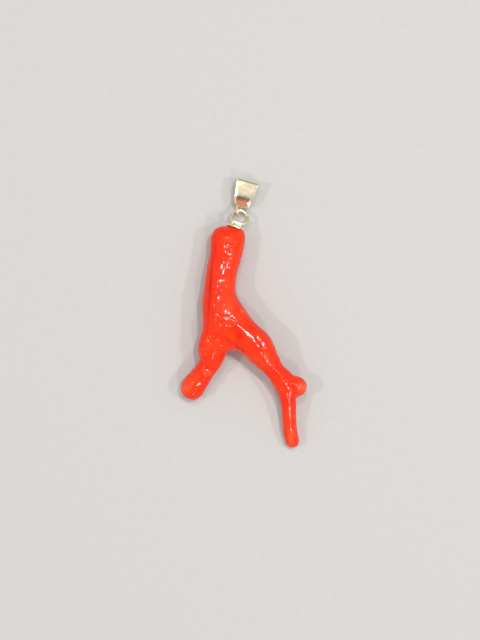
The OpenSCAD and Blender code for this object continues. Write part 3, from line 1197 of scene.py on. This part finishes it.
@dataclass
class CoralBranch:
    """The polished branch: limbs melted into each other, with a flat seat and a drilled hole for
    the cap, large dents and lumps, small forms and facets on the side that is seen, and ripples."""

    melt_width: float = 2.4
    melt_shares: tuple[float, ...] = (0.35, 0.8, 0.75, 0.7)
    relief_band: float = 1.5
    seat_radius: float = 1.875
    seat_edge: float = 0.04
    hole_radius: float = 0.65
    hole_depth: float = 5.05
    hole_edge: float = 0.05
    ripples: tuple[Ripples, ...] = (Ripples(), Ripples(0.005, 0.8, 1.7, seed=5))
    streaks: tuple[Streak, ...] = (
        Streak((-0.8, -3.0), (1.9, -5.3), 6, 0.75, 0.55, "lamp_main"),
        Streak((2.8, -5.0), (4.3, -6.6), 4, 0.8, 0.9, "lamp_main"),
        Streak((9.3, -16.8), (9.3, -22.8), 6, 0.6, 0.26, "lamp_low"),
    )
    sight_top: float = 10.0
    sight_step: float = 0.04
    steepest: float = 0.45
    tilt_rounds: int = 10
    tilt_share: float = 0.6
    grain_blend: float = 0.5
    least_share: float = 1e-9
    room: Room = ((-13.3, -28.1, -0.8), (13.1, 18.0, 8.9))
    cell: float = 0.142

    def __post_init__(self) -> None:
        """Lays out the limbs, drops the small forms on to the skin and tilts the facets."""
        self.limbs = [Chain.along(rows) for rows in (KNOB, SHOULDER, LEFT_LEG, WEB, MAIN_LIMB)]
        self.forms = self.dropped(np.array(SMALL_FORMS))
        self.facets = self.dropped(np.array(BREAKS))
        self.tilt_facets()

    def body(self, x: Array, y: Array, z: Array) -> Array:
        """Distance to the melted limbs with their large relief, before the seat is cut: each
        lump is a bell over a ball, which is taken off the distance near the skin.

        Args:
            x: Places along X.
            y: Places along Y.
            z: Places along Z.

        Returns:
            The distances.
        """
        gaps = [limb.gap(x, y, z) for limb in self.limbs]
        whole = gaps[-1]
        for gap, share in zip(gaps[-2::-1], self.melt_shares[::-1]):
            whole = melt(gap, whole, share * self.melt_width)
        near = np.abs(whole) < self.relief_band
        lift = np.zeros_like(whole)
        for cx, cy, cz, reach, rise in RELIEF:
            away = (x - cx) ** 2 + (y - cy) ** 2 + (z - cz) ** 2
            lift += rise * np.exp(-away / reach**2)
        return whole - np.where(near, lift, 0)

    def cut(self, whole: Array, x: Array, y: Array, z: Array) -> Array:
        """Takes the seat and the drilled hole out of the branch.

        Args:
            whole: Distances to the uncut skin.
            x: Places along X.
            y: Places along Y.
            z: Places along Z.

        Returns:
            Distances to the cut skin.
        """
        u, v, w = EndCap.seat.inward(x, y, z)
        round_seat = np.hypot(u, v)
        seat = np.maximum(round_seat - self.seat_radius, -w)
        hole = np.maximum(round_seat - self.hole_radius, -w - self.hole_depth)
        return carve(carve(whole, seat, self.seat_edge), hole, self.hole_edge)

    def gap(self, x: Array, y: Array, z: Array) -> Array:
        """Distance to the cut branch, without its small forms and ripples."""
        return self.cut(self.body(x, y, z), x, y, z)

    def under_sight(self, gap: Gap, seen: Array) -> Array:
        """The points of a skin that the eye sees at places of the flat tables.

        Heights are tried from above. The skin lies between the last one outside it and the
        first one inside, where a straight line between their two distances is nought.

        Args:
            gap: Distance to the skin.
            seen: Rows that start with X and Y.

        Returns:
            One point for each row.
        """
        heights = np.arange(self.sight_top, 0.0, -self.sight_step)[:, None]
        x, y = seen_from_camera(seen, heights)
        gaps = gap(x, y, heights + 0 * x)
        row, inside = np.arange(len(seen)), (gaps < 0).argmax(0)
        below, above = gaps[inside, row], gaps[inside - 1, row]
        z = heights[inside, 0] - self.sight_step * below / (above - below)
        return np.column_stack([*seen_from_camera(seen, z), z])

    def dropped(self, forms: Array) -> Array:
        """Lays small forms or facets on the skin, along the line of sight.

        Args:
            forms: Their table.

        Returns:
            The table with X and Y moved under the eye's line and the height as a last column.
        """
        points = self.under_sight(self.body, forms)
        return np.column_stack([points[:, :2], forms[:, 2:], points[:, 2]])

    def missing_slopes(self, seen: Array) -> Array:
        """How much more steeply the skin would have to rise along X and Y at each seen place to
        mirror a lamp: it would face half the way between the lamp and the eye.

        Args:
            seen: Rows that start with X and Y.

        Returns:
            Two slopes for each lamp and each place.
        """
        points = self.under_sight(self.fine_gap, seen)
        facing = slope(self.fine_gap, points, self.sight_step)
        to_eye = unit(Studio.eye - points)
        halves = [to_eye + unit(np.divide(lamp.at, MM) - points) for lamp in Studio.lamps]
        return np.stack([facing[:, :2] / facing[:, 2:] - half[:, :2] / half[:, 2:] for half in halves])

    def tilt_facets(self) -> None:
        """Adds the facets, each tilted until the eye sees a lamp in it.

        A single glint takes the lamp that needs the least tilt, and a streak takes its own. Each
        round adds a share of the slope that is still missing, up to the steepest tilt, because
        neighbours tilt each other.
        """
        seen = np.vstack([GLINTS, *(streak.rows() for streak in self.streaks)])
        chosen = np.linalg.norm(self.missing_slopes(seen), axis=2).argmin(0)
        names = [lamp.name for lamp in Studio.lamps]
        own = [names.index(streak.lamp) for streak in self.streaks]
        chosen[len(GLINTS) :] = np.repeat(own, [streak.count for streak in self.streaks])
        tilt, fixed = np.zeros((len(seen), 2)), self.facets
        for _ in range(self.tilt_rounds):
            tilt += self.tilt_share * self.missing_slopes(seen)[chosen, np.arange(len(seen))]
            length = np.linalg.norm(tilt, axis=1, keepdims=True)
            tilt *= self.steepest / np.maximum(length, self.steepest)
            self.facets = np.vstack([self.dropped(np.hstack([seen, tilt])), fixed])

    def fine_gap(self, x: Array, y: Array, z: Array) -> Array:
        """Distance to the finished skin: each small form is a bell over an oval, each facet is
        a slanted plane under such a bell, and the ripples are added.

        Args:
            x: Places along X.
            y: Places along Y.
            z: Places along Z.

        Returns:
            The distances.
        """
        lift = sum(ripples.rise(x, y, z) for ripples in self.ripples)
        for cx, cy, along, across, turn, rise, cz in self.forms:
            lift = lift + rise * oval_bell(x - cx, y - cy, z - cz, along, across, turn)
        for cx, cy, along, across, turn, rise_x, rise_y, cz in self.facets:
            plane = rise_x * (x - cx) + rise_y * (y - cy)
            lift = lift + plane * oval_bell(x - cx, y - cy, z - cz, along, across, turn)
        return self.cut(self.body(x, y, z) - lift, x, y, z)

    def grain(self, points: Array) -> Array:
        """Each point in the frame of the limbs near it: the way along the limb, and the way out
        from its middle line, as a mean over the limbs with shares that fall with distance.

        Args:
            points: The corners.

        Returns:
            One vector for each corner.
        """
        total, weight = np.zeros_like(points), np.zeros((len(points), 1))
        for limb in self.limbs:
            line = limb.table[:, :3]
            away = np.stack([((points - row) ** 2).sum(1) for row in line], axis=1)
            nearest = away.argmin(1)
            share = np.exp(-np.sqrt(away.min(1, keepdims=True)) / self.grain_blend) + self.least_share
            way = unit(np.gradient(line, axis=0))[nearest]
            out = points - line[nearest]
            along = (out * way).sum(1)
            start = np.append(0, np.linalg.norm(np.diff(line, axis=0), axis=1).cumsum())[nearest]
            side = np.stack([start + along, out @ [0, 0, 1], (out * np.cross(way, [0, 0, 1])).sum(1)], axis=1)
            total += share * side
            weight += share
        return total / weight

    def tint_and_painted_light(self, points: Array) -> Array:
        """How much warmer and paler or deeper the colour is: a bell over an oval about each mark.
        The marks carry the coral's own warmer places, and painted sheen, painted highlights and
        painted shade.

        Args:
            points: The corners.

        Returns:
            One share for each corner, less than zero where the red is deeper, most of it painted shade.
        """
        share = np.zeros(len(points))
        for cx, cy, along, across, turn, most in TINT_AND_PAINTED_LIGHT_MARKS:
            share += most * oval_bell(points[:, 0] - cx, points[:, 1] - cy, 0.0, along, across, turn)
        return share.clip(-1, 1)

    def build(self) -> None:
        """Builds and dresses the branch."""
        skin = LevelSkin(self.gap, self.room, self.cell)
        corners, quads, normals = skin.mesh(self.fine_gap, first=1, last=3)
        piece = link_piece("coral_branch_skin", corners, quads, normals)
        put_attribute(piece, "grain", self.grain(corners))
        # Shares of the colour marks: the coral's warmer places, painted sheen and highlights, and painted
        # shade
        put_attribute(piece, "tint_and_painted_light", self.tint_and_painted_light(corners))
        put_attribute(piece, "lively", self.ripples[0].share(*corners.T))
        hand_in(piece, CoralFinish().material(), Slot.CORAL, "coral_branch")


# The gold


def round_bar(u: Array, v: Array, w: Array, radius: float, low: float, high: float) -> Array:
    """Distance to an upright round bar with rounded ends.

    Args:
        u: Places across.
        v: Places across, the other way.
        w: Places along.
        radius: The bar's radius.
        low: Its lower end.
        high: Its upper end.

    Returns:
        The distances.
    """
    return corner(np.hypot(u, v) - radius, np.abs(w - (low + high) / 2) - (high - low) / 2, radius / 3)


@dataclass
class EndCap:
    """The small dome on the coral's end with its peg, and the ring that is soldered to it on two
    feet and a bar. Solder fills the hollows where they meet. The bar's sizes are its width, its
    depth and its height."""

    seat: Pose = Pose(SEAT_AT, (("Z", -18.6), ("X", -90.0)))
    ring: Pose = Pose((SEAT_AT[0] + 1.03, SEAT_AT[1] + 2.35, SEAT_AT[2] - 0.97), (("Z", -24.0), ("X", -35.0)))
    dome_width: float = 3.7
    dome_height: float = 0.8
    dome_edge: float = 0.36
    dome_round: float = 0.1
    base_round: float = 0.02
    lift: float = 0.05
    peg_radius: float = 0.6
    peg_length: float = 5.0
    foot_out: float = 0.92
    foot_radius: float = 0.17
    foot_height: float = 1.2
    bar: Place = (0.62, 0.4, 1.05)
    bar_round: float = 0.1
    bar_end_round: float = 0.06
    ring_radius: float = 1.69
    wire_radius: float = 0.34
    solder: float = 0.22
    room: Room = ((-4.2, 11.6, 0.5), (1.5, 21.2, 5.2))
    cell: float = 0.06

    def dome(self, u: Array, v: Array, w: Array) -> Array:
        """Distance to the dome, the top of a ball over a short straight edge and a flat base.

        Args:
            u: Places across the seat.
            v: Places across the seat, the other way.
            w: Places out of the seat.

        Returns:
            The distances.
        """
        half, rise = self.dome_width / 2, self.dome_height - self.dome_edge
        ball = (half**2 + rise**2) / (2 * rise)
        across = np.hypot(u, v)
        top = np.hypot(across, w - self.lift - self.dome_height + ball) - ball
        return corner(corner(top, across - half, self.dome_round), self.lift - w, self.base_round)

    def gap(self, x: Array, y: Array, z: Array) -> Array:
        """Distance to the whole soldered piece.

        Args:
            x: Places along X.
            y: Places along Y.
            z: Places along Z.

        Returns:
            The distances.
        """
        u, v, w = self.seat.inward(x, y, z)
        whole = self.dome(u, v, w)
        feet = [
            round_bar(u - side * self.foot_out, v, w, self.foot_radius, self.lift, self.foot_height)
            for side in (-1, 1)
        ]
        wide, deep, high = self.bar
        plate = corner(np.abs(u) - wide / 2, np.abs(v) - deep / 2, self.bar_round)
        plate = corner(plate, np.abs(w - high / 2) - high / 2, self.bar_end_round)
        a, b, c = self.ring.inward(x, y, z)
        wire = np.hypot(np.hypot(a, b) - self.ring_radius, c) - self.wire_radius
        for part in (*feet, plate, wire):
            whole = melt(whole, part, self.solder)
        peg = round_bar(u, v, w, self.peg_radius, -self.peg_length, self.dome_height / 2)
        return np.minimum(whole, peg)

    def build(self) -> None:
        """Builds and dresses the end cap with its ring."""
        piece = link_piece("end_cap_and_ring", *LevelSkin(self.gap, self.room, self.cell).mesh(self.gap))
        hand_in(piece, GoldFinish("ring_gold", Polish.WORN).material(), Slot.GOLD, "end_cap")


@dataclass
class ConnectingLoop:
    """The thin oval loop between the ring and the bail, with a small bead of solder where its
    wire closes. Where the bead is and how far it reaches are shares of the way round."""

    pose: Pose = Pose(
        (SEAT_AT[0] + 0.84, SEAT_AT[1] + 4.14, SEAT_AT[2] - 1.91), (("Z", -6.4), ("X", -13.0), ("Y", 65.0))
    )
    length: float = 2.5
    width: float = 1.9
    wire_radius: float = 0.22
    bead: float = 0.025
    bead_at: float = 0.62
    bead_reach: float = 0.012
    stretches: int = 240
    sides: int = 28

    def middle(self) -> tuple[Array, Array]:
        """The oval's middle line, two half circles and two straights, at even steps, with the
        way out from the oval's own middle at each step.

        Returns:
            The points and the outward ways.
        """
        radius, straight = self.width / 2, self.length - self.width
        bend = np.pi * radius
        way = np.arange(self.stretches) / self.stretches * (2 * bend + 2 * straight)
        half = way % (bend + straight)
        angle = np.minimum(half, bend) / radius
        run = np.maximum(half - bend, 0)
        out = np.stack([np.cos(angle), np.sin(angle), 0 * angle], axis=1)
        point = radius * out + np.stack([0 * run, straight / 2 - run, 0 * run], axis=1)
        side = np.where(way < bend + straight, 1.0, -1.0)[:, None]
        return point * side, out * side

    def build(self) -> None:
        """Builds and dresses the loop: its wire's round section is carried along the oval."""
        point, out = self.middle()
        around = np.arange(self.sides) / self.sides * 2 * np.pi
        share = np.arange(self.stretches) / self.stretches
        radius = self.wire_radius + self.bead * np.exp(-(((share - self.bead_at) / self.bead_reach) ** 2))
        section = np.cos(around)[None, :, None] * out[:, None, :] + np.sin(around)[None, :, None] * [0, 0, 1]
        points = point[:, None, :] + radius[:, None, None] * section
        i, j = np.meshgrid(np.arange(self.stretches), np.arange(self.sides), indexing="ij")
        after, beside = (i + 1) % self.stretches, (j + 1) % self.sides
        rows = [(a * self.sides + b).ravel() for a, b in ((i, j), (after, j), (after, beside), (i, beside))]
        placed = self.pose.outward(points.reshape(-1, 3))
        piece = link_piece("connecting_loop_wire", placed, np.stack(rows, axis=1))
        hand_in(piece, GoldFinish("loop_gold").material(), Slot.GOLD, "connecting_loop")


@dataclass
class Bail:
    """The bail: a tapered strip folded over at its wide end, with raised rims along the edges of
    its front and its fold, and a hole in its back for the loop. Its lean, in degrees, is how far
    it lies turned about Z."""

    lean: float = -15.7
    length: float = 5.6
    top_width: float = 4.8
    low_width: float = 3.0
    height: float = 3.4
    strip: float = 0.36
    rim_width: float = 0.36
    rim_height: float = 0.12
    front_flat: float = 2.0
    front_fall: float = 0.62
    fold_radius: float = 0.8
    heel_radius: float = 1.2
    back_z: float = 0.95
    end_radius: float = 0.9
    edge: float = 0.07
    rim_round: float = 0.16
    rim_melt: float = 0.06
    hole_radius: float = 0.625
    hole_at: tuple[float, float] = (-0.5, 0.95)
    hole_top: float = 1.6
    bend_points: int = 13
    room: Room = ((-2.6, -0.2, -0.2), (2.6, 5.8, 3.6))
    cell: float = 0.06

    def pose(self) -> Pose:
        """Where the bail lies: its open end over the loop, flat on the floor."""
        return Pose((SEAT_AT[0] + 1.18, SEAT_AT[1] + 4.4, 0.0), (("Z", self.lean),))

    def bend(self, middle: Sequence[float], radius: float, start: float, end: float) -> Array:
        """Points on a bend, from one angle in degrees to another.

        Args:
            middle: The bend's middle in the side view.
            radius: Its radius.
            start: The first angle.
            end: The last angle.

        Returns:
            The points.
        """
        angle = np.radians(np.linspace(start, end, self.bend_points))
        return np.array(middle) + radius * np.stack([np.cos(angle), np.sin(angle)], axis=1)

    def fold_line(self, proud: float) -> Array:
        """The strip's line in the side view, from the front's open end over the fold and the
        heel to the back's open end: it lies half the strip's thickness inside the skin, and the
        part of it that carries the rims stands out by proud.

        Args:
            proud: How far the line is moved outwards.

        Returns:
            The line's points, along the bail and up.
        """
        t = self.strip / 2 - proud
        top, end = self.height - self.rim_height, self.length - self.rim_height
        sweep = end - self.fold_radius - self.front_flat
        front = (sweep**2 + self.front_fall**2) / (2 * self.front_fall)
        lean = np.degrees(np.arcsin(sweep / front))
        heel_y = end - self.heel_radius
        rise = self.heel_radius - self.back_z
        spread = np.degrees(np.arcsin(self.heel_radius / np.hypot(heel_y, rise)))
        back = spread - np.degrees(np.arctan(rise / heel_y))
        tip = t * np.array([np.sin(np.radians(back)), np.cos(np.radians(back))])
        return np.vstack(
            [
                self.bend((sweep, top - front), front - t, 90 + lean, 90),
                self.bend((sweep + self.front_flat, top - self.fold_radius), self.fold_radius - t, 90, 0),
                self.bend((heel_y, self.heel_radius), self.heel_radius - t, 0, -90 - back),
                [[0, self.back_z] + tip],
            ]
        )

    def ribbon(self, y: Array, z: Array, line: Array, thick: float) -> Array:
        """Distance in the side view to a strip along a line.

        Args:
            y: Places along the bail.
            z: Places up.
            line: The line's points.
            thick: The strip's thickness.

        Returns:
            The distances.
        """
        rows = np.column_stack([line, np.zeros(len(line)), np.full(len(line), thick / 2)])
        return Chain(rows).gap(y, z, np.zeros(1))

    def gap(self, x: Array, y: Array, z: Array) -> Array:
        """Distance to the bail in its own frame: the strip with its rims, inside the outline
        that its tapered sides and its rounded end make, less the hole through its back.

        Args:
            x: Places across it.
            y: Places along it.
            z: Places up.

        Returns:
            The distances.
        """
        flare = (self.top_width - self.low_width) / 2 / self.length
        side = (np.abs(x) - self.low_width / 2 - flare * y) / np.hypot(1, flare)
        outline = corner(side, -y, self.end_radius)
        strip = corner(self.ribbon(y, z, self.fold_line(0), self.strip), outline, self.edge)
        proud = self.rim_height / 2
        upper = self.fold_line(proud)[: 2 * self.bend_points + 1]
        raised = self.ribbon(y, z, upper, self.strip + self.rim_height)
        rim = corner(corner(raised, outline, self.rim_round), -side - self.rim_width, self.rim_round)
        whole = melt(strip, rim, self.rim_melt)
        away = np.hypot(x - self.hole_at[0], y - self.hole_at[1]) - self.hole_radius
        return corner(whole, -np.maximum(away, z - self.hole_top), self.edge)

    def build(self) -> None:
        """Builds and dresses the bail."""
        corners, quads, normals = LevelSkin(self.gap, self.room, self.cell).mesh(self.gap)
        pose = self.pose()
        piece = link_piece("bail_strip", pose.outward(corners), quads, normals @ pose.matrix().T)
        finish = GoldFinish("bail_gold", turn=-self.lean, wave_depth=0.00006)
        hand_in(piece, finish.material(), Slot.GOLD, "bail")


# The studio


@dataclass(frozen=True)
class Lamp:
    """A rectangular lamp that points at the pendant: its place and size in metres, and its power."""

    name: str
    at: Place
    size: tuple[float, float]
    watts: float

    def build(self) -> None:
        """Hangs the lamp and turns it towards the pendant."""
        data = bpy.data.lights.new(self.name, "AREA")
        data.shape = "RECTANGLE"
        data.size, data.size_y = self.size
        data.energy = self.watts
        lamp = bpy.data.objects.new(self.name, data)
        bpy.context.scene.collection.objects.link(lamp)
        lamp.location = self.at
        x, y, z = self.at
        lamp.rotation_euler = (np.arctan2(np.hypot(x, y), z), 0.0, np.arctan2(x, -y))


@dataclass
class Studio:
    """The pale floor, the soft light and the camera straight above the pendant.

    The eye is in millimetres. Places in the flat tables are as seen at the height seen_at. The
    sky's colours are stops by height, from nought at the horizon to one overhead, and its screens
    are stops from one side along Y to the other, which show only between the screen edges.
    """

    eye: Place = (-0.78, -1.64, 200.0)
    seen_at: float = 3.4
    lens: float = 55.3
    sensor: float = 36.0
    clip_start: float = 0.01
    floor_z: float = -0.01
    floor_side: float = 0.9
    sky_strength: float = 0.58
    sky_by_height: Stops = (
        (0.1, (0.6, 0.59, 0.58)),
        (0.36, (1.0, 0.985, 0.96)),
    )
    screens: Stops = (
        (0.12, (1.0, 0.97, 0.9)),
        (0.15, (1.1, 0.45, 0.28)),
        (0.31, (1.15, 0.54, 0.36)),
        (0.35, (0.36, 0.22, 0.15)),
        (0.42, (0.46, 0.36, 0.3)),
        (0.46, (0.84, 0.93, 1.05)),
        (0.5, (1.2, 1.2, 1.2)),
        (0.56, (1.26, 1.22, 1.12)),
        (0.59, (1.6, 1.46, 1.54)),
        (0.63, (1.2, 1.2, 1.2)),
        (0.7, (1.0, 1.0, 1.0)),
        (0.86, (1.0, 1.0, 1.0)),
        (0.89, (0.2, 0.17, 0.14)),
        (0.93, (0.2, 0.17, 0.14)),
        (0.96, (0.9, 0.88, 0.82)),
    )
    screen_edge: Span = (0.22, 0.4)
    beside: Colour = (1.12, 1.1, 1.06, 1.0)
    lamps: tuple[Lamp, ...] = (
        Lamp("lamp_main", (0.147, 0.132, 0.6), (0.03, 0.03), 1.15),
        Lamp("lamp_left", (-0.45, -0.06, 0.55), (0.028, 0.028), 0.8),
        Lamp("lamp_right", (0.45, -0.06, 0.55), (0.028, 0.028), 0.8),
        Lamp("lamp_top", (-0.03, 0.24, 0.6), (0.024, 0.024), 0.6),
        Lamp("lamp_low", (0.2, -0.45, 0.6), (0.022, 0.1), 0.9),
    )

    def floor(self) -> None:
        """Lays the floor, one square grid."""
        side = np.linspace(-1, 1, 3) * self.floor_side / 2 / MM
        x, y = np.meshgrid(side, side, indexing="ij")
        points = np.column_stack([x.ravel(), y.ravel(), np.full(x.size, self.floor_z)])
        start = np.array([0, 1, 3, 4])
        quads = np.stack([start, start + 3, start + 4, start + 1], axis=1)
        board = link_piece("floor_board", points, quads)
        board.data.materials.append(FloorFinish().material())

    def sky(self) -> None:
        """Sets soft light from all round, bright overhead and dimmer towards the floor, with a
        brown and a rosy screen on the side that the bail's front faces."""
        world = bpy.data.worlds.new("soft_room")
        bpy.context.scene.world = world
        r = Recipe(world)
        way = r.node("ShaderNodeTexCoord").outputs["Generated"]
        split = r.node("ShaderNodeSeparateXYZ", None, {0: way})
        x, y, z = (Shade(r, part) for part in split.outputs)
        screens = r.stops(y * 0.5 + 0.5, self.screens)
        screens = r.blend(screens, self.beside, x.math("ABSOLUTE", x).ramp(*self.screen_edge))
        colour = r.node(
            "ShaderNodeMix",
            {"data_type": "RGBA", "blend_type": "MULTIPLY"},
            {0: 1.0, 6: r.stops(z, self.sky_by_height), 7: screens},
        )
        sockets = {"Color": colour.outputs[2], "Strength": self.sky_strength}
        back = r.node("ShaderNodeBackground", None, sockets)
        r.node("ShaderNodeOutputWorld", None, {0: back.outputs[0]})

    def camera(self) -> None:
        """Sets the camera: straight down, with the pendant's +Y up in the picture."""
        data = bpy.data.cameras.new("camera")
        data.sensor_width = self.sensor
        data.lens = self.lens
        data.clip_start = self.clip_start
        camera = bpy.data.objects.new("camera", data)
        bpy.context.scene.collection.objects.link(camera)
        camera.location = tuple(MM * v for v in self.eye)
        bpy.context.scene.camera = camera
        bpy.context.scene.view_settings.view_transform = "Standard"

    def build(self) -> None:
        """Builds the studio."""
        self.floor()
        self.sky()
        for lamp in self.lamps:
            lamp.build()
        self.camera()


def main() -> None:
    """Builds the studio and each sub-assembly in order."""
    logging.basicConfig(level=logging.INFO, format="%(name)s: %(message)s")
    Studio().build()
    for part in (CoralBranch(), EndCap(), ConnectingLoop(), Bail()):
        part.build()


if __name__ == "__main__":
    main()
